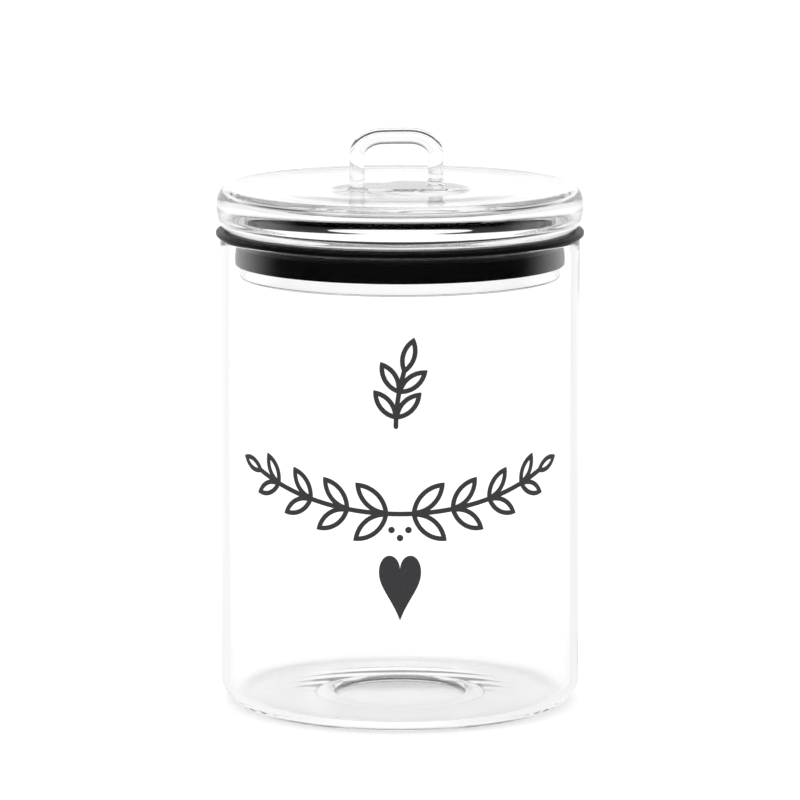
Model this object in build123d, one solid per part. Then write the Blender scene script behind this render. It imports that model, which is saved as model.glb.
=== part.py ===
from build123d import *
import os
from math import asin, atan2, cos, degrees, radians, sin, sqrt

os.makedirs("parts", exist_ok=True)

# Sizes are in millimetres. +Z is up, the origin is the middle of the ring that the jar stands on,
# and the print faces -Y.

# Jar
jar_diameter = 100.0
jar_height = 131.5
jar_glass = 2.2
heel_radius = 7.0
foot_width = 4.0
lip_flat = 0.6
push_up_height = 3.4             # underside of the floor, at the centre
push_up_shoulder_radius = 15.0
push_up_shoulder_height = 2.8
push_up_foot_radius = 25.0
push_up_foot_height = 0.7
push_up_ease = 0.6               # how far the step between foot and shoulder keeps their slopes

# Seal: a flange on the jar's rim, and a sleeve that grips the neck of the lid
mouth_clearance = 0.3            # between the seal's root and the jar's bore
neck_clearance = 0.05            # between the seal's bore and the neck
flange_thickness = 1.7
flange_edge_thickness = 1.05
flange_overhang = 1.1            # past the outside of the jar
flange_slope_width = 1.5
flange_edge_rounding = 0.3
root_wall = 2.85
root_height = 1.2
root_slope_height = 1.3
sleeve_top_wall = 1.35
sleeve_tip_wall = 1.05
sleeve_depth = 7.7               # below the jar's rim
sleeve_tip_rounding = 0.4
corner_clearance = 0.2           # the seal's bevel clears the bend at the top of the neck by this

# Lid, blown hollow: the radii are those of its inside, and its outside is one glass thickness out
lid_glass = 1.5
lid_overhang = 0.95              # past the outside of the jar
lid_height = 10.85               # from the seal to the flat of the disc
disc_flat_radius = 26.0
rim_crest_rise = 1.0
rim_top_reach = 1.5              # across and down from the crest to the widest place
rim_top_drop = 3.8
rim_side_radius = 13.0
rim_heel_radius = 1.7
neck_bend_radius = 1.2           # outside, between the underside and the neck
neck_depth = 13.0                # below the seal's upper face

# Handle: one bent glass rod, melted on at both feet
rod_diameter = 4.4
handle_width = 26.3
handle_shift = -1.0              # the handle isn't quite in the middle
handle_height = 17.15            # above the disc
handle_bend_radius = 6.4         # of the rod's centre line
handle_turn = 6.0                # degrees, right leg away from the front
foot_flare = 1.0
foot_flare_height = 1.6
foot_bead_rise = 0.5
foot_bead_height = 2.6
foot_bead_half_length = 0.9

# Print: a film on the outside of the jar
print_gap = 0.04
print_thickness = 0.12
print_reach = 3.0                # how far the cutting outlines pass to each side of the film
stroke = 1.3
heart_width = 11.5
heart_height = 18.0
heart_centre_height = 41.0
heart_cleft_depth = 3.9
heart_shoulder_drop = 4.6        # from the top to the widest place
heart_roundness = 0.56
heart_tip_fullness = 2.2
garland_height = 61.5            # of the stem, in the middle
garland_sag = 9.0
garland_half_span = 43.0         # along the glass, from the middle to the end of the stem
garland_pairs = 4                # leaf pairs on each side
garland_first_pair = 3.6
garland_pair_spacing = 10.8
garland_leaf_length = 13.0       # in the middle
garland_leaf_taper = 0.09        # shorter by this much for each millimetre from the middle
sprig_base_height = 85.5
sprig_stem_length = 15.0
sprig_lean = 2.2
sprig_pair_heights = (2.4, 9.4)
sprig_leaf_length = 10.4
leaf_slimness = 0.42             # a leaf's width over its length
leaf_angle = 42.0                # degrees, between a leaf and its stem
berry_radius = 0.9
berry_drop = 6.6                 # of the middle berry, below the stem
berry_spacing = 2.3
berry_step = 2.2

# Radii and heights that follow from these
jar_radius = jar_diameter / 2
bore_radius = jar_radius - jar_glass
heel_centre_radius = jar_radius - heel_radius
foot_inner_radius = heel_centre_radius - foot_width
lip_rounding = (jar_glass - lip_flat) / 2
root_radius = bore_radius - mouth_clearance
seal_bore_radius = root_radius - root_wall
neck_radius = seal_bore_radius - neck_clearance
flange_radius = jar_radius + flange_overhang
seat_height = jar_height + flange_thickness
lid_radius = jar_radius + lid_overhang
disc_height = seat_height + lid_height
rim_centre_radius = lid_radius - lid_glass - rim_top_reach
rim_centre_height = disc_height + rim_crest_rise - lid_glass - rim_top_drop
rod_radius = rod_diameter / 2
leg_offset = handle_width / 2 - rod_radius
print_radius = jar_radius + print_gap


# A closed outline in radius and height, turned about the jar's axis
def turned(edges):
    return revolve(Plane.XZ * make_face(Wire(edges)), axis=Axis.Z)


# The pushed-up floor from a starting radius to the axis: the same curves below and above the glass
def floor_line(start_radius, rise):
    start = Vector(start_radius, rise)
    foot = Vector(push_up_foot_radius, push_up_foot_height + rise)
    shoulder = Vector(push_up_shoulder_radius, push_up_shoulder_height + rise)
    crown = Vector(0, push_up_height + rise)
    skirt = Vector((start.X + foot.X) / 2, start.Y)
    cap = Vector((shoulder.X + crown.X) / 2, crown.Y)
    return [
        Bezier(start, skirt, foot),
        Bezier(
            foot,
            foot + (foot - skirt) * push_up_ease,
            shoulder + (shoulder - cap) * push_up_ease,
            shoulder,
        ),
        Bezier(shoulder, cap, crown),
    ]


def jar_body():
    lip_height = jar_height - lip_rounding
    heel_centre = (heel_centre_radius, heel_radius)
    return turned([
        *floor_line(foot_inner_radius, 0),
        Line((foot_inner_radius, 0), (heel_centre_radius, 0)),
        CenterArc(heel_centre, heel_radius, -90, 90),
        Line((jar_radius, heel_radius), (jar_radius, lip_height)),
        CenterArc((jar_radius - lip_rounding, lip_height), lip_rounding, 0, 90),
        Line((jar_radius - lip_rounding, jar_height), (bore_radius + lip_rounding, jar_height)),
        CenterArc((bore_radius + lip_rounding, lip_height), lip_rounding, 90, 90),
        Line((bore_radius, lip_height), (bore_radius, heel_radius)),
        CenterArc(heel_centre, heel_radius - jar_glass, 0, -90),
        *floor_line(heel_centre_radius, jar_glass),
        Line((0, push_up_height + jar_glass), (0, push_up_height)),
    ])


def seal_ring():
    bevel = neck_bend_radius + corner_clearance
    root_foot = jar_height - root_height
    tip = jar_height - sleeve_depth
    corners = {
        (seal_bore_radius + bevel, seat_height): 0,
        (flange_radius - flange_slope_width, seat_height): 0,
        (flange_radius, jar_height + flange_edge_thickness): flange_edge_rounding,
        (flange_radius, jar_height): flange_edge_rounding,
        (root_radius, jar_height): 0,
        (root_radius, root_foot): root_height / 2,
        (seal_bore_radius + sleeve_top_wall, root_foot - root_slope_height): root_slope_height / 2,
        (seal_bore_radius + sleeve_tip_wall, tip): sleeve_tip_rounding,
        (seal_bore_radius, tip): sleeve_tip_rounding,
        (seal_bore_radius, seat_height - bevel): 0,
    }
    outline = FilletPolyline(*corners.keys(), radius=list(corners.values()), close=True)
    return turned(outline.edges())


# The lid's outline from the axis to the foot of the neck, this much glass out from its inside
def lid_line(glass):
    crest = rim_centre_height + rim_top_drop + glass
    flat = disc_height - lid_glass + glass
    halfway = (disc_flat_radius + rim_centre_radius) / 2
    side_centre_radius = lid_radius - lid_glass - rim_side_radius
    heel_drop = rim_centre_height - seat_height - lid_glass - rim_heel_radius
    heel_reach = rim_side_radius - rim_heel_radius
    heel_centre_radius_in_lid = side_centre_radius + sqrt(heel_reach ** 2 - heel_drop ** 2)
    turn = degrees(asin(heel_drop / heel_reach))
    heel_centre = (heel_centre_radius_in_lid, rim_centre_height - heel_drop)
    underside = seat_height + lid_glass - glass
    bend_centre = (neck_radius + neck_bend_radius, seat_height - neck_bend_radius)
    neck = neck_radius - lid_glass + glass
    return [
        Line((0, flat), (disc_flat_radius, flat)),
        Bezier((disc_flat_radius, flat), (halfway, flat), (halfway, crest), (rim_centre_radius, crest)),
        EllipticalCenterArc(
            (rim_centre_radius, rim_centre_height), rim_top_reach + glass, rim_top_drop + glass, arc_size=90
        ),
        CenterArc((side_centre_radius, rim_centre_height), rim_side_radius + glass, 0, -turn),
        CenterArc(heel_centre, rim_heel_radius + glass, -turn, turn - 90),
        Line((heel_centre_radius_in_lid, underside), (bend_centre[0], underside)),
        CenterArc(bend_centre, neck_bend_radius + lid_glass - glass, 90, 90),
        Line((neck, bend_centre[1]), (neck, seat_height - neck_depth + lid_glass / 2)),
    ]


def lid_shell():
    neck_end = CenterArc(
        (neck_radius - lid_glass / 2, seat_height - neck_depth + lid_glass / 2), lid_glass / 2, 180, 180
    )
    crown = Line((0, disc_height - lid_glass), (0, disc_height))
    return turned([*lid_line(lid_glass), neck_end, *lid_line(0), crown])


# The lower end of one leg: a foot melted out over the disc and the small bead above it
def handle_foot():
    bead_bottom = foot_bead_height - foot_bead_half_length
    bead_top = foot_bead_height + foot_bead_half_length
    foot_radius = rod_radius + foot_flare
    return turned([
        Line((0, 0), (foot_radius, 0)),
        Bezier((foot_radius, 0), (rod_radius, foot_flare_height / 4), (rod_radius, foot_flare_height)),
        Line((rod_radius, foot_flare_height), (rod_radius, bead_bottom)),
        ThreePointArc(
            (rod_radius, bead_bottom), (rod_radius + foot_bead_rise, foot_bead_height), (rod_radius, bead_top)
        ),
        Line((rod_radius, bead_top), (0, bead_top)),
        Line((0, bead_top), (0, 0)),
    ])


def lid_handle():
    top = handle_height - rod_radius
    route = FilletPolyline(
        (-leg_offset, 0, 0),
        (-leg_offset, 0, top),
        (leg_offset, 0, top),
        (leg_offset, 0, 0),
        radius=handle_bend_radius,
    )
    rod = sweep(Plane((-leg_offset, 0, 0)) * Circle(rod_radius), path=route)
    feet = [Pos(side * leg_offset, 0, 0) * handle_foot() for side in (-1, 1)]
    return Pos(handle_shift, 0, disc_height) * Rot(0, 0, handle_turn) * (rod + feet)


# A plane that touches the film at a distance round the glass from the front, and at a height
def glass_plane(across, up):
    turn = across / print_radius
    outward = (sin(turn), -cos(turn), 0)
    touch = (print_radius * outward[0], print_radius * outward[1], up)
    return Plane(origin=touch, x_dir=(cos(turn), sin(turn), 0), z_dir=outward)


# A flat outline pushed through the film where the plane touches it
def stamp(outline, across, up):
    return extrude(glass_plane(across, up) * outline, amount=print_reach, both=True)


# What the outlines leave on the film
def film(stamps):
    inside = Cylinder(print_radius, jar_height, align=(Align.CENTER, Align.CENTER, Align.MIN))
    outside = Cylinder(
        print_radius + print_thickness, jar_height, align=(Align.CENTER, Align.CENTER, Align.MIN)
    )
    return (outside - inside) & (Part() + stamps)


# The space between two equal arcs that meet in a point at each end of the length
def lens(length, width):
    upper = ThreePointArc((-length / 2, 0), (0, width / 2), (length / 2, 0))
    lower = ThreePointArc((length / 2, 0), (0, -width / 2), (-length / 2, 0))
    return make_face(Wire([upper, lower]))


# A drawn leaf: its outline is one stroke wide all round
def leaf(length):
    rise = length * leaf_slimness / 2
    arc_radius = (rise ** 2 + (length / 2) ** 2) / (2 * rise)
    inner_length = 2 * sqrt((arc_radius - stroke) ** 2 - (arc_radius - rise) ** 2)
    return lens(length, 2 * rise) - lens(inner_length, 2 * (rise - stroke))


# A leaf that grows from a point of a stem, this many degrees up from level
def leaf_stamp(across, up, angle, length):
    middle = (length - stroke) / 2
    across_middle = across + middle * cos(radians(angle))
    up_middle = up + middle * sin(radians(angle))
    return stamp(Rot(0, 0, angle) * leaf(length), across_middle, up_middle)


# A stem seen from straight ahead, as wide as a stroke, pushed back through the front of the jar
def stem_stamp(points):
    seen = [(print_radius * sin(across / print_radius), up) for across, up in points]
    line = trace(Spline(seen), line_width=stroke)
    ends = [Pos(*end) * Circle(stroke / 2) for end in (seen[0], seen[-1])]
    front = print_radius + print_reach
    return extrude(Plane((0, -front, 0), x_dir=(1, 0, 0), z_dir=(0, -1, 0)) * (line + ends), amount=-front)


def garland_up(across):
    return garland_height + garland_sag * (across / garland_half_span) ** 2


def garland_slope(across):
    return degrees(atan2(2 * garland_sag * across, garland_half_span ** 2))


def print_garland():
    steps = 8
    stem = [
        (step * garland_half_span / steps, garland_up(step * garland_half_span / steps))
        for step in range(-steps, steps + 1)
    ]
    stamps = [stem_stamp(stem)]
    for side in (-1, 1):
        outward = 90 - 90 * side
        for pair in range(garland_pairs):
            across = side * (garland_first_pair + pair * garland_pair_spacing)
            length = garland_leaf_length - garland_leaf_taper * abs(across)
            for spread in (-leaf_angle, leaf_angle):
                angle = outward + garland_slope(across) + spread
                stamps.append(leaf_stamp(across, garland_up(across), angle, length))
        end = side * garland_half_span
        length = garland_leaf_length - garland_leaf_taper * garland_half_span
        stamps.append(leaf_stamp(end, garland_up(end), outward + garland_slope(end), length))
    for berry in (-1, 0, 1):
        up = garland_height - berry_drop + berry_step * abs(berry)
        stamps.append(stamp(Circle(berry_radius), berry * berry_spacing, up))
    return film(stamps)


def sprig_across(height):
    return sprig_lean * ((height / sprig_stem_length) ** 2 - 1 / 2)


def sprig_angle(height):
    return degrees(atan2(sprig_stem_length ** 2, 2 * sprig_lean * height))


def print_sprig():
    steps = 4
    heights = [step * sprig_stem_length / steps for step in range(steps + 1)]
    stamps = [stem_stamp([(sprig_across(height), sprig_base_height + height) for height in heights])]
    for height in sprig_pair_heights:
        for spread in (-leaf_angle, leaf_angle):
            angle = sprig_angle(height) + spread
            stamps.append(
                leaf_stamp(sprig_across(height), sprig_base_height + height, angle, sprig_leaf_length)
            )
    top = sprig_stem_length
    stamps.append(
        leaf_stamp(sprig_across(top), sprig_base_height + top, sprig_angle(top), sprig_leaf_length)
    )
    return film(stamps)


def print_heart():
    half = heart_width / 2
    top = heart_height / 2
    lobe = half / 2
    tip = (0, -top)
    widest = (half, top - heart_shoulder_drop)
    crown = (lobe, top)
    cleft = (0, top - heart_cleft_depth)
    side = Bezier(tip, (heart_tip_fullness, -lobe), (half, 0), widest)
    shoulder = Bezier(
        widest,
        (half, widest[1] + heart_shoulder_drop * heart_roundness),
        (lobe + lobe * heart_roundness, top),
        crown,
    )
    crease = Bezier(
        crown,
        (lobe - lobe * heart_roundness, top),
        (0, cleft[1] + heart_cleft_depth * heart_roundness),
        cleft,
    )
    right = make_face(Wire([side, shoulder, crease, Line(cleft, tip)]))
    heart = right + mirror(right, about=Plane.YZ)
    return film([stamp(heart, 0, heart_centre_height)])


pieces = {
    "jar_body": jar_body,
    "print_heart": print_heart,
    "print_garland": print_garland,
    "print_sprig": print_sprig,
    "seal_ring": seal_ring,
    "lid_shell": lid_shell,
    "lid_handle": lid_handle,
}
for name, make in pieces.items():
    export_step(make(), f"parts/{name}.step")
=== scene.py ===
import math

import bmesh
import bpy
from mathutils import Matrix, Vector


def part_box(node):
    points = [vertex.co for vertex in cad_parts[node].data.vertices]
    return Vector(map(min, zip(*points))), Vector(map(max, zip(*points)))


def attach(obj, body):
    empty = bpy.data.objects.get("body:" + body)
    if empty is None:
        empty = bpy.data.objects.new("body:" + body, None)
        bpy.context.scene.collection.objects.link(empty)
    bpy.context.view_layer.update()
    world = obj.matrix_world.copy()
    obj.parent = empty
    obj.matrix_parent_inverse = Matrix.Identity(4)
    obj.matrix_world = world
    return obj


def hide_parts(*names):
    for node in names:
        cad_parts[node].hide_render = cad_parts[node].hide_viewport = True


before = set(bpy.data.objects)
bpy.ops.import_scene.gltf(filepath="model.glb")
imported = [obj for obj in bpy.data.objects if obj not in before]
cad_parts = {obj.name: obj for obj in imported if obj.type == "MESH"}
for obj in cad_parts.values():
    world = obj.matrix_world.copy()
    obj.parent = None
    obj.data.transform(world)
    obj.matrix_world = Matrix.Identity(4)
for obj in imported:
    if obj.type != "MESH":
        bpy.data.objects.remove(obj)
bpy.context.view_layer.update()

mm = 0.001
tiny = 1e-4      # points of an outline that are nearer than this are one
scene = bpy.context.scene
print("frame loaded")

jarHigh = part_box("jar_body")[1]
sealLow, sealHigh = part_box("seal_ring")
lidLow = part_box("lid_shell")[0]
loopLow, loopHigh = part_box("lid_handle")
jarRadius = jarHigh.x / mm      # outlines below are in millimetres
jarRim = jarHigh.z / mm
sealTop = sealHigh.z / mm
sealTip = sealLow.z / mm
neckTip = lidLow.z / mm
discHeight = loopLow.z / mm
loopTop = loopHigh.z / mm


# Outlines, as points of radius and height

def oval(centre, width, height, start, end, steps):
    points = []
    for step in range(steps + 1):
        angle = math.radians(start + (end - start) * step / steps)
        points.append((centre[0] + width * math.cos(angle), centre[1] + height * math.sin(angle)))
    return points


def arc(centre, radius, start, end, steps):
    return oval(centre, radius, radius, start, end, steps)


def bend(controls, steps):      # a Bezier curve through its first and last control
    points = []
    for step in range(steps + 1):
        row = [Vector(control) for control in controls]
        while len(row) > 1:
            row = [near.lerp(far, step / steps) for near, far in zip(row, row[1:])]
        points.append(tuple(row[0]))
    return points


def straight(start, end, steps):
    return bend([start, end], steps)


def corner(before, at, after, radius, steps):      # a rounded corner of a polygon
    toBefore = (Vector(before) - Vector(at)).normalized()
    toAfter = (Vector(after) - Vector(at)).normalized()
    half = toBefore.angle(toAfter) / 2
    reach = radius / math.tan(half)
    start = Vector(at) + toBefore * reach
    end = Vector(at) + toAfter * reach
    centre = Vector(at) + (toBefore + toAfter).normalized() * (radius / math.sin(half))
    first = math.atan2(start.y - centre.y, start.x - centre.x)
    turn = math.remainder(math.atan2(end.y - centre.y, end.x - centre.x) - first, math.tau)
    return arc(centre, radius, math.degrees(first), math.degrees(first + turn), steps)


def joined(*runs):      # one outline, without the points that two runs share
    outline = []
    for run in runs:
        for point in run:
            if not outline or (Vector(point) - Vector(outline[-1])).length > tiny:
                outline.append(tuple(point))
    return outline


# Meshes

def ringOf(bm, points):
    return [bm.verts.new([value * mm for value in point]) for point in points]


def skin(bm, near, far):      # faces between two rings, or between a ring and a tip
    count = max(len(near), len(far))
    for index in range(count):
        after = (index + 1) % count
        lower = [near[index % len(near)], near[after % len(near)]]
        upper = [far[after % len(far)], far[index % len(far)]]
        bm.faces.new(dict.fromkeys(lower + upper))


def turnedRings(bm, outline, segments, bulge=None):      # a tip where the outline meets the axis
    rings = []
    for radius, height in outline:
        if radius < tiny:
            rings.append(ringOf(bm, [(0, 0, height)]))
            continue
        points = []
        for segment in range(segments):
            angle = math.tau * segment / segments
            reach = radius + (bulge(angle, radius, height) if bulge else 0)
            points.append((reach * math.cos(angle), reach * math.sin(angle), height))
        rings.append(ringOf(bm, points))
    return rings


def pieceFrom(bm, name, material):
    bmesh.ops.recalc_face_normals(bm, faces=bm.faces)
    for face in bm.faces:
        face.smooth = True
    mesh = bpy.data.meshes.new(name)
    bm.to_mesh(mesh)
    bm.free()
    mesh.materials.append(material)
    piece = bpy.data.objects.new(name, mesh)
    scene.collection.objects.link(piece)
    return piece


# Materials

def newMaterial(name):
    material = bpy.data.materials.new(name)
    material.use_nodes = True
    shader = material.node_tree.nodes["Principled BSDF"]
    return material, shader


def node(tree, kind, **values):
    made = tree.nodes.new(kind)
    for name, value in values.items():
        if name in made.inputs:
            made.inputs[name].default_value = value
        else:
            setattr(made, name, value)
    return made


def makeUneven(tree, shader, scale, depth, stretch=(1, 1, 1)):      # a soft bump, measured on the piece
    place = node(tree, "ShaderNodeTexCoord")
    sized = node(tree, "ShaderNodeMapping")
    sized.inputs["Scale"].default_value = stretch
    cloud = node(tree, "ShaderNodeTexNoise", Scale=scale, Detail=2.0)
    bump = node(tree, "ShaderNodeBump", Strength=1.0, Distance=depth)
    tree.links.new(place.outputs["Object"], sized.inputs["Vector"])
    tree.links.new(sized.outputs["Vector"], cloud.inputs["Vector"])
    tree.links.new(cloud.outputs["Fac"], bump.inputs["Height"])
    tree.links.new(bump.outputs["Normal"], shader.inputs["Normal"])
    return cloud.outputs["Fac"]


glassLook = {
    "colour": (1.0, 1.0, 1.0, 1),
    "ior": 1.47,
    "waveScale": 38,
    "waveDepth": 0.00004,
    "jarStretch": (1, 1, 0.35),      # drawn out up the wall
    "lidStretch": (1, 1, 1),
}


def clearGlass(name, stretch):
    material, shader = newMaterial(name)
    shader.inputs["Base Color"].default_value = glassLook["colour"]
    shader.inputs["Transmission Weight"].default_value = 1
    shader.inputs["Roughness"].default_value = 0
    shader.inputs["IOR"].default_value = glassLook["ior"]
    makeUneven(material.node_tree, shader, glassLook["waveScale"], glassLook["waveDepth"], stretch)
    return material


sealLook = {
    "colour": (0.0025, 0.0025, 0.0027, 1),
    "roughness": (0.25, 0.40),
    "specular": 0.07,
    "grainScale": 260,
    "grainDepth": 0.000003,
}


def blackRubber():
    material, shader = newMaterial("blackRubber")
    shader.inputs["Base Color"].default_value = sealLook["colour"]
    shader.inputs["Specular IOR Level"].default_value = sealLook["specular"]
    tree = material.node_tree
    grain = makeUneven(tree, shader, sealLook["grainScale"], sealLook["grainDepth"])
    dull = node(tree, "ShaderNodeMapRange")
    dull.inputs["To Min"].default_value = sealLook["roughness"][0]
    dull.inputs["To Max"].default_value = sealLook["roughness"][1]
    tree.links.new(grain, dull.inputs["Value"])
    tree.links.new(dull.outputs["Result"], shader.inputs["Roughness"])
    return material


inkLook = {
    "thick": (0.036, 0.037, 0.040, 1),
    "thin": (0.060, 0.061, 0.065, 1),
    "roughness": 0.62,
    "specular": 0.3,
    "grainScale": 1400,
    "grainDepth": 0.00001,
}


def firedInk():
    material, shader = newMaterial("firedInk")
    tree = material.node_tree
    shader.inputs["Roughness"].default_value = inkLook["roughness"]
    shader.inputs["Specular IOR Level"].default_value = inkLook["specular"]
    grain = makeUneven(tree, shader, inkLook["grainScale"], inkLook["grainDepth"])
    shade = node(tree, "ShaderNodeMix", data_type="RGBA")
    shade.inputs["A"].default_value = inkLook["thick"]
    shade.inputs["B"].default_value = inkLook["thin"]
    tree.links.new(grain, shade.inputs["Factor"])
    tree.links.new(shade.outputs["Result"], shader.inputs["Base Color"])
    return material


# The jar

jarShape = {
    "glass": 2.2,
    "heel": 6.8,
    "lipFlat": 0.6,
    # the floor's two sides: radius and height of its edge, of both ends of the step, and of its middle
    "under": ((39.0, 0.0), (25.0, 0.3), (21.0, 0.4), (0.0, 0.5)),
    "over": ((43.2, 2.3), (21.5, 2.25), (16.0, 1.55), (0.0, 1.45)),
    "stepEase": 0.6,
    "waveDepth": 0.02,      # the inside of the wall isn't quite even
    "waveNear": 0.3,      # it moves the points this near to the bore
    "waveFade": 12,
    "waves": ((1.0, 2, 0.5, 0.02), (0.6, 5, 1.9, -0.035)),      # share, number round, start and twist
    "segments": 256,
}


def floorRun(controls):
    start, foot, shoulder, crown = [Vector(control) for control in controls]
    skirt = Vector(((start.x + foot.x) / 2, start.y))
    cap = Vector(((shoulder.x + crown.x) / 2, crown.y))
    ease = jarShape["stepEase"]
    return joined(
        bend([start, skirt, foot], steps=10),
        bend([foot, foot + (foot - skirt) * ease, shoulder + (shoulder - cap) * ease, shoulder], steps=14),
        bend([shoulder, cap, crown], steps=12),
    )


def jarOutline():
    bore = jarRadius - jarShape["glass"]
    heelCentre = (jarRadius - jarShape["heel"], jarShape["heel"])
    lip = (jarShape["glass"] - jarShape["lipFlat"]) / 2
    shoulder = jarRim - lip
    edge = jarShape["over"][0]
    return joined(
        reversed(floorRun(jarShape["under"])),
        straight(jarShape["under"][0], (heelCentre[0], 0), steps=4),
        arc(heelCentre, jarShape["heel"], -90, 0, steps=24),
        straight((jarRadius, heelCentre[1]), (jarRadius, shoulder), steps=40),
        arc((jarRadius - lip, shoulder), lip, 0, 90, steps=10),
        arc((bore + lip, shoulder), lip, 90, 180, steps=10),
        straight((bore, shoulder), (bore, heelCentre[1]), steps=40),
        oval((edge[0], heelCentre[1]), bore - edge[0], heelCentre[1] - edge[1], 0, -90, steps=20),
        floorRun(jarShape["over"]),
    )


def jarWave(angle, radius, height):      # how far a point of the wall moves out
    bore = jarRadius - jarShape["glass"]
    if abs(radius - bore) > jarShape["waveNear"] or height < jarShape["heel"]:
        return 0
    fromEnd = min(height - jarShape["heel"], jarRim - height)
    fade = min(1, fromEnd / jarShape["waveFade"])
    wave = 0
    for share, count, start, twist in jarShape["waves"]:
        wave += share * math.sin(count * angle + start + height * twist)
    return jarShape["waveDepth"] * fade * wave


def makeJar(material):
    bm = bmesh.new()
    rings = turnedRings(bm, jarOutline(), jarShape["segments"], jarWave)
    for near, far in zip(rings, rings[1:]):
        skin(bm, near, far)
    jar = pieceFrom(bm, "jar_glass", material)
    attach(jar, "jar")
    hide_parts("jar_body")
    print("jar made")


# The seal

sealShape = {
    "mouthGap": 0.3,
    "rootWall": 2.85,
    "edgeThickness": 1.05,
    "slopeWidth": 1.5,
    "rootHeight": 1.2,
    "rootSlope": 1.3,
    "topWall": 1.35,
    "tipWall": 1.05,
    "bevel": 1.4,
    "airGap": 0.02,      # under the lid
    "segments": 256,
}


def sealOutline():
    outside = sealHigh.x / mm
    root = jarRadius - jarShape["glass"] - sealShape["mouthGap"]
    bore = root - sealShape["rootWall"]
    rootFoot = jarRim - sealShape["rootHeight"]
    corners = [      # radius, height and rounding
        (bore + sealShape["bevel"], sealTop - sealShape["airGap"], 0.1),
        (outside - sealShape["slopeWidth"], sealTop - sealShape["airGap"], 0.5),
        (outside, jarRim + sealShape["edgeThickness"], 0.3),
        (outside, jarRim, 0.3),
        (root, jarRim, 0.1),
        (root, rootFoot, 0.5),
        (bore + sealShape["topWall"], rootFoot - sealShape["rootSlope"], 0.6),
        (bore + sealShape["tipWall"], sealTip, 0.4),
        (bore, sealTip, 0.4),
        (bore, sealTop - sealShape["bevel"], 0.2),
    ]
    runs = []
    for index, (radius, height, rounding) in enumerate(corners):
        before = corners[index - 1][:2]
        after = corners[(index + 1) % len(corners)][:2]
        runs.append(corner(before, (radius, height), after, rounding, steps=6))
    return joined(*runs)


def makeSeal(material):
    bm = bmesh.new()
    rings = turnedRings(bm, sealOutline(), sealShape["segments"])
    for near, far in zip(rings, rings[1:] + rings[:1]):
        skin(bm, near, far)
    seal = pieceFrom(bm, "seal_rubber", material)
    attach(seal, "seal")
    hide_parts("seal_ring")
    print("seal made")


# The lid, with its loop melted on

lidShape = {
    "overhang": 0.96,      # past the outside of the jar
    "crestRise": 1.03,      # of the rim above the disc
    "discFlat": 26.2,
    "discFill": 20.0,      # inside this the top is filled round the feet of the loop
    "rimTop": (3.0, 5.3),      # across and down from the crest to the widest place
    "rimSide": 14.5,      # radii of the curves below it
    "rimHeel": 3.2,
    "neckBend": 1.2,
    "neckRadius": 44.6,
    "insideFlat": 26.2,      # radii of the end of the flat and of the highest place, inside
    "insideCrest": 47.5,
    "glass": {      # it was blown, so it isn't even
        "disc": 2.00,
        "crest": 2.00,
        "side": 1.30,
        "low": 1.39,
        "heel": 1.67,
        "under": 0.70,
        "bend": 1.93,
        "neck": 1.25,
    },
    "segments": 256,
}

loopShape = {
    "rod": 2.1,
    "rodMiddle": 2.3,      # it is thicker where it was bent
    "centre": -1.0,      # the loop isn't quite in the middle
    "legOffset": 10.95,
    "bend": (7.0, 4.7),      # across and up
    "crown": 0.35,      # how much the top is arched
    "turn": 6.0,
    "feet": (      # leg, and the height and radius of the melted glass up it
        (-1, ((0, 3.5), (0.25, 2.8), (0.7, 2.3), (1.3, 1.98), (1.9, 2.02), (2.8, 2.1), (4.0, 2.1))),
        (1, ((0, 2.0), (0.35, 2.35), (0.9, 2.85), (1.5, 2.3), (1.9, 1.75), (2.3, 2.35), (2.9, 1.95),
             (4.2, 2.1))),
    ),
    "footSteps": 8,
    "legSteps": 6,
    "bendSteps": 16,
    "topSteps": 4,
    "segments": 40,
}


def lidTop(flat, crest, widest):      # from the edge of the flat over the crest to the widest place
    half = (flat[0] + crest[0]) / 2
    return joined(
        bend([flat, (half, flat[1]), (half, crest[1]), crest], steps=24),
        oval((crest[0], widest[1]), widest[0] - crest[0], crest[1] - widest[1], 90, 0, steps=28),
    )


def lidBelow(widest):      # from the widest place to the foot of the neck, with the glass at both ends
    sideCentre = (widest[0] - lidShape["rimSide"], widest[1])
    drop = widest[1] - sealTop - lidShape["rimHeel"]
    reach = lidShape["rimSide"] - lidShape["rimHeel"]
    heelCentre = (sideCentre[0] + math.sqrt(reach ** 2 - drop ** 2), widest[1] - drop)
    turn = math.degrees(math.asin(drop / reach))
    neck = lidShape["neckRadius"]
    bendCentre = (neck + lidShape["neckBend"], sealTop - lidShape["neckBend"])
    neckFoot = neckTip + lidShape["glass"]["neck"] / 2
    return [
        ("side", "low", arc(sideCentre, lidShape["rimSide"], 0, -turn / 2, steps=10)),
        ("low", "heel", arc(sideCentre, lidShape["rimSide"], -turn / 2, -turn, steps=10)),
        ("heel", "under", arc(heelCentre, lidShape["rimHeel"], -turn, -90, steps=16)),
        ("under", "under", straight((heelCentre[0], sealTop), (bendCentre[0], sealTop), steps=8)),
        ("under", "bend", arc(bendCentre, lidShape["neckBend"], 90, 135, steps=6)),
        ("bend", "neck", arc(bendCentre, lidShape["neckBend"], 135, 180, steps=6)),
        ("neck", "neck", straight((neck, bendCentre[1]), (neck, neckFoot), steps=12)),
    ]


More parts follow.
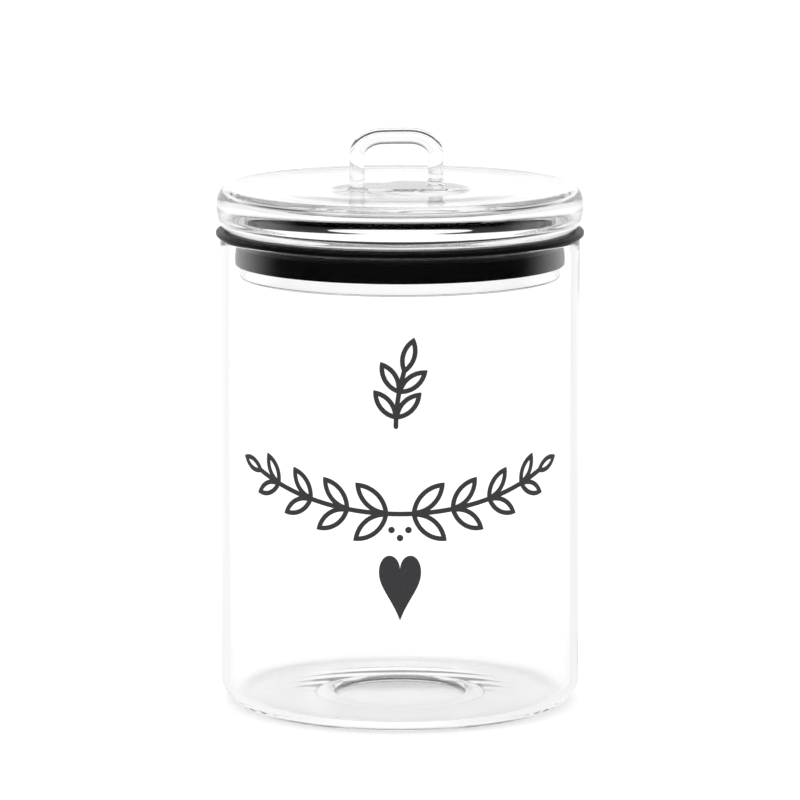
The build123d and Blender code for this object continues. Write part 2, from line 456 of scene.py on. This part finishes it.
def lidOutline():
    glass = lidShape["glass"]
    flat = lidShape["discFlat"]
    crest = discHeight + lidShape["crestRise"]
    rimWidth, rimHeight = lidShape["rimTop"]
    widest = (jarRadius + lidShape["overhang"], crest - rimHeight)
    outside, depths = [], []
    for start, end, run in lidBelow(widest):
        for index, point in enumerate(run):
            share = index / (len(run) - 1)
            share = share * share * (3 - 2 * share)
            if outside and (Vector(point) - outside[-1]).length < tiny:
                continue
            outside.append(Vector(point))
            depths.append(glass[start] * (1 - share) + glass[end] * share)
    inside = []
    for index, point in enumerate(outside):
        along = outside[min(index + 1, len(outside) - 1)] - outside[max(index - 1, 0)]
        inside.append(point + Vector((-along.y, along.x)).normalized() * -depths[index])
    discUnder = discHeight - glass["disc"]
    insideFlat = lidShape["insideFlat"]
    insideCrest = (lidShape["insideCrest"], crest - glass["crest"])
    neckCentre = (lidShape["neckRadius"] - glass["neck"] / 2, neckTip + glass["neck"] / 2)
    return joined(
        straight((lidShape["discFill"], discHeight), (flat, discHeight), steps=4),
        lidTop((flat, discHeight), (widest[0] - rimWidth, crest), widest),
        outside,
        arc(neckCentre, glass["neck"] / 2, 0, -180, steps=16),
        reversed(inside[1:]),
        reversed(lidTop((insideFlat, discUnder), insideCrest, (widest[0] - glass["side"], widest[1]))),
        straight((insideFlat, discUnder), (0, discUnder), steps=14),
    )


def footRings(profile, legTop):      # height and radius up one leg, smooth through the points of its foot
    points = [Vector(point) for point in (profile[0], *profile, (legTop, profile[-1][1]))]
    rings = []
    for before, near, far, after in zip(points, points[1:], points[2:], points[3:]):
        for step in range(loopShape["footSteps"]):
            share = step / loopShape["footSteps"]
            swing = (far - before) * share + (2 * before - 5 * near + 4 * far - after) * share ** 2
            swing += (3 * near - before - 3 * far + after) * share ** 3
            rings.append(near + swing / 2)
    return rings + [Vector(point) for point in straight(points[-2], points[-1], loopShape["legSteps"])]


def loopRoute():      # middle, direction and radius of each ring of the rod, from foot to foot
    bendAcross, bendUp = loopShape["bend"]
    offset = loopShape["legOffset"]
    arch = loopShape["crown"]
    legTop = loopTop - discHeight - loopShape["rodMiddle"] - bendUp - arch
    swell = loopShape["rodMiddle"] - loopShape["rod"]
    bendSteps, topSteps = loopShape["bendSteps"], loopShape["topSteps"]
    rings = []
    for leg, profile in loopShape["feet"]:
        run = []
        for height, radius in footRings(profile, legTop):
            run.append((Vector((leg * offset, 0, height)), Vector((0, 0, -leg)), radius))
        for step in range(1, bendSteps + topSteps + 1):
            angle = math.radians(90 * min(step, bendSteps) / bendSteps)
            reach = offset - bendAcross + bendAcross * math.cos(angle)
            across = leg * reach * (1 - max(0, step - bendSteps) / (topSteps + 1))
            height = legTop + bendUp * math.sin(angle) + arch * (1 - (across / offset) ** 2)
            direction = Vector((bendAcross * math.sin(angle), 0, -leg * bendUp * math.cos(angle)))
            radius = loopShape["rod"] + swell * math.sin(angle)
            run.append((Vector((across, 0, height)), direction.normalized(), radius))
        rings += run if leg < 0 else run[::-1]
    return rings


def loopRings(bm):
    turn = math.radians(loopShape["turn"])
    across = Vector((0, 1, 0))
    rings = []
    for middle, along, radius in loopRoute():
        upward = along.cross(across)
        points = []
        for segment in range(loopShape["segments"]):
            angle = math.tau * segment / loopShape["segments"]
            point = middle + (across * math.cos(angle) + upward * math.sin(angle)) * radius
            side = point.x * math.cos(turn) - point.y * math.sin(turn)
            depth = point.x * math.sin(turn) + point.y * math.cos(turn)
            points.append((side + loopShape["centre"], depth, point.z + discHeight))
        rings.append(ringOf(bm, points))
    return rings


def edgesOf(bm, ring):
    return [bm.edges.get((ring[index - 1], ring[index])) for index in range(len(ring))]


def makeLid(material):
    bm = bmesh.new()
    shell = turnedRings(bm, lidOutline(), lidShape["segments"])
    loop = loopRings(bm)
    for rings in (shell, loop):
        for near, far in zip(rings, rings[1:]):
            skin(bm, near, far)
    rims = edgesOf(bm, shell[0]) + edgesOf(bm, loop[0]) + edgesOf(bm, loop[-1])
    bmesh.ops.triangle_fill(bm, use_beauty=True, edges=rims, normal=(0, 0, 1))
    lid = pieceFrom(bm, "lid_glass", material)
    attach(lid, "lid")
    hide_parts("lid_shell", "lid_handle")
    print("lid made")


# The studio: a white floor and surround, with soft lamps

studio = {
    "floorSize": 12.0,
    "floorDrop": 0.00005,
    "floorColour": (0.80, 0.80, 0.80, 1),
    "floorGlow": 0.55,
    "lampSideStrength": 0.62,
    "lampTarget": (0, 0, 0.07),
    "zenithEdge": (0.25, 0.70),      # heights of direction between which the light overhead ends
    "zenithShade": 0.08,
    "frontEdge": (-0.15, 0.45),      # from front to back, where the dark of the room ends
    "frontShade": 0.0,
    "backShine": 1.04,
    "floorClear": (0.25, 0.60),      # how far out the floor turns from light to dark
    "roomClear": (0.15, 0.40),      # and how high up the dark ends
    "leftEdge": (-0.6, -0.15),      # from left to right, where the sides of the room are a little darker
    "leftShade": 0.89,
    "rightEdge": (0.1, 0.5),
    "rightShade": 0.87,
    "bounces": 96,      # light runs far along inside thick clear glass
}

lamps = {
    "keyLamp": {"at": (-1.1, -1.0, 1.1), "size": (0.5, 1.1), "power": 4.5},
    "fillLamp": {"at": (1.25, -0.7, 0.7), "size": (0.5, 1.1), "power": 3.0},
    "topLamp": {"at": (0.0, 0.3, 1.6), "size": (1.2, 1.2), "power": 4.0},
}


def combined(tree, operation, first, second):
    made = node(tree, "ShaderNodeMath", operation=operation)
    tree.links.new(first, made.inputs[0])
    tree.links.new(second, made.inputs[1])
    return made.outputs[0]


def looking(tree, path):      # 1 for the rays that look at things, 0 for those that gather light
    unbent = combined(tree, "MAXIMUM", path.outputs["Is Camera Ray"], path.outputs["Is Glossy Ray"])
    return combined(tree, "MAXIMUM", unbent, path.outputs["Is Transmission Ray"])


def mirroredOnce(tree, path):      # 1 for a ray that something mirrored, also if more glass came after
    once = node(tree, "ShaderNodeMath", operation="MINIMUM")
    tree.links.new(path.outputs["Glossy Depth"], once.inputs[0])
    once.inputs[1].default_value = 1
    return once.outputs[0]


def ramp(tree, value, span, levels):
    made = node(tree, "ShaderNodeMapRange", interpolation_type="SMOOTHSTEP")
    tree.links.new(value, made.inputs["Value"])
    for name, number in zip(("From Min", "From Max", "To Min", "To Max"), (*span, *levels)):
        made.inputs[name].default_value = number
    return made.outputs["Result"]


def roomAround(tree, direction, clear):      # what gloss mirrors of the room, dark and low in front
    unit = node(tree, "ShaderNodeVectorMath", operation="NORMALIZE")
    split = node(tree, "ShaderNodeSeparateXYZ")
    level = node(tree, "ShaderNodeMix", data_type="FLOAT")
    tree.links.new(direction, unit.inputs[0])
    tree.links.new(unit.outputs[0], split.inputs[0])
    frontLevels = (studio["frontShade"], studio["backShine"])
    front = ramp(tree, split.outputs["Y"], studio["frontEdge"], frontLevels)
    left = ramp(tree, split.outputs["X"], studio["leftEdge"], (studio["leftShade"], 1))
    right = ramp(tree, split.outputs["X"], studio["rightEdge"], (1, studio["rightShade"]))
    tree.links.new(clear, level.inputs["Factor"])
    tree.links.new(front, level.inputs["A"])
    level.inputs["B"].default_value = studio["backShine"]
    return combined(tree, "MULTIPLY", level.outputs["Result"], combined(tree, "MULTIPLY", left, right))


def makeFloor():
    bpy.ops.mesh.primitive_plane_add(size=studio["floorSize"], location=(0, 0, -studio["floorDrop"]))
    floor = bpy.context.object
    floor.name = "studio_floor"
    material, shader = newMaterial("studioFloor")
    tree = material.node_tree
    shader.inputs["Base Color"].default_value = studio["floorColour"]
    shader.inputs["Roughness"].default_value = 1
    shader.inputs["Specular IOR Level"].default_value = 0
    path = node(tree, "ShaderNodeLightPath")
    glow = node(tree, "ShaderNodeMath", operation="MULTIPLY")
    glow.inputs[1].default_value = studio["floorGlow"]
    tree.links.new(looking(tree, path), glow.inputs[0])
    shader.inputs["Emission Color"].default_value = (1, 1, 1, 1)
    tree.links.new(glow.outputs[0], shader.inputs["Emission Strength"])
    place = node(tree, "ShaderNodeTexCoord")
    reach = node(tree, "ShaderNodeVectorMath", operation="LENGTH")
    tree.links.new(place.outputs["Object"], reach.inputs[0])
    clear = ramp(tree, reach.outputs["Value"], studio["floorClear"], (1, 0))
    mirrored = node(tree, "ShaderNodeEmission")
    tree.links.new(roomAround(tree, place.outputs["Object"], clear), mirrored.inputs["Strength"])
    choice = node(tree, "ShaderNodeMixShader")
    tree.links.new(mirroredOnce(tree, path), choice.inputs["Fac"])
    tree.links.new(shader.outputs[0], choice.inputs[1])
    tree.links.new(mirrored.outputs[0], choice.inputs[2])
    tree.links.new(choice.outputs[0], tree.nodes["Material Output"].inputs["Surface"])
    material.cycles.emission_sampling = "NONE"
    floor.data.materials.append(material)


def makeWorld():
    world = bpy.data.worlds.new("studioWorld")
    world.use_nodes = True
    scene.world = world
    tree = world.node_tree
    tree.nodes.clear()
    place = node(tree, "ShaderNodeTexCoord")
    split = node(tree, "ShaderNodeSeparateXYZ")
    tree.links.new(place.outputs["Generated"], split.inputs["Vector"])
    height = ramp(tree, split.outputs["Z"], studio["zenithEdge"], (1, studio["zenithShade"]))
    path = node(tree, "ShaderNodeLightPath")
    mirrored = node(tree, "ShaderNodeMix", data_type="FLOAT")
    tree.links.new(mirroredOnce(tree, path), mirrored.inputs["Factor"])
    mirrored.inputs["A"].default_value = 1
    clear = ramp(tree, split.outputs["Z"], studio["roomClear"], (0, 1))
    tree.links.new(roomAround(tree, place.outputs["Generated"], clear), mirrored.inputs["B"])
    shade = combined(tree, "MULTIPLY", height, mirrored.outputs["Result"])
    plain = node(tree, "ShaderNodeMix", data_type="FLOAT")
    tree.links.new(path.outputs["Is Camera Ray"], plain.inputs["Factor"])
    tree.links.new(shade, plain.inputs["A"])
    plain.inputs["B"].default_value = 1
    seenSide = node(tree, "ShaderNodeBackground")
    tree.links.new(plain.outputs["Result"], seenSide.inputs["Strength"])
    lampSide = node(tree, "ShaderNodeBackground", Strength=studio["lampSideStrength"])
    choice = node(tree, "ShaderNodeMixShader")
    output = node(tree, "ShaderNodeOutputWorld")
    for background in (seenSide, lampSide):
        background.inputs["Color"].default_value = (1, 1, 1, 1)
    tree.links.new(looking(tree, path), choice.inputs["Fac"])
    tree.links.new(lampSide.outputs[0], choice.inputs[1])
    tree.links.new(seenSide.outputs[0], choice.inputs[2])
    tree.links.new(choice.outputs[0], output.inputs["Surface"])


def makeLamps():
    target = Vector(studio["lampTarget"])
    for name, lamp in lamps.items():
        light = bpy.data.lights.new(name, "AREA")
        light.shape = "RECTANGLE"
        light.size, light.size_y = lamp["size"]
        light.energy = lamp["power"]
        holder = bpy.data.objects.new(name, light)
        holder.location = lamp["at"]
        holder.rotation_euler = (target - Vector(lamp["at"])).to_track_quat("-Z", "Y").to_euler()
        scene.collection.objects.link(holder)


cameraView = {
    "distance": 1.6,
    "height": 0.34248,
    "pitch": 9.15,
    "lens": 261.34,
    "sensor": 36.0,
}


def makeCamera():
    camera = bpy.data.cameras.new("photoCamera")
    camera.sensor_width = cameraView["sensor"]
    camera.lens = cameraView["lens"]
    holder = bpy.data.objects.new("photoCamera", camera)
    holder.location = (0, -cameraView["distance"], cameraView["height"])
    holder.rotation_euler = (math.radians(90 - cameraView["pitch"]), 0, 0)
    scene.collection.objects.link(holder)
    scene.camera = holder


makeCamera()
makeFloor()
makeWorld()
makeLamps()
scene.view_settings.view_transform = "Standard"
for kind in ("max_bounces", "glossy_bounces", "transmission_bounces"):
    setattr(scene.cycles, kind, studio["bounces"])
print("studio ready")

makeJar(clearGlass("jarGlass", glassLook["jarStretch"]))
makeSeal(blackRubber())
makeLid(clearGlass("lidGlass", glassLook["lidStretch"]))

ink = firedInk()
for name in ("print_heart", "print_garland", "print_sprig"):
    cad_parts[name].data.materials.clear()
    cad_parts[name].data.materials.append(ink)
print("print inked")
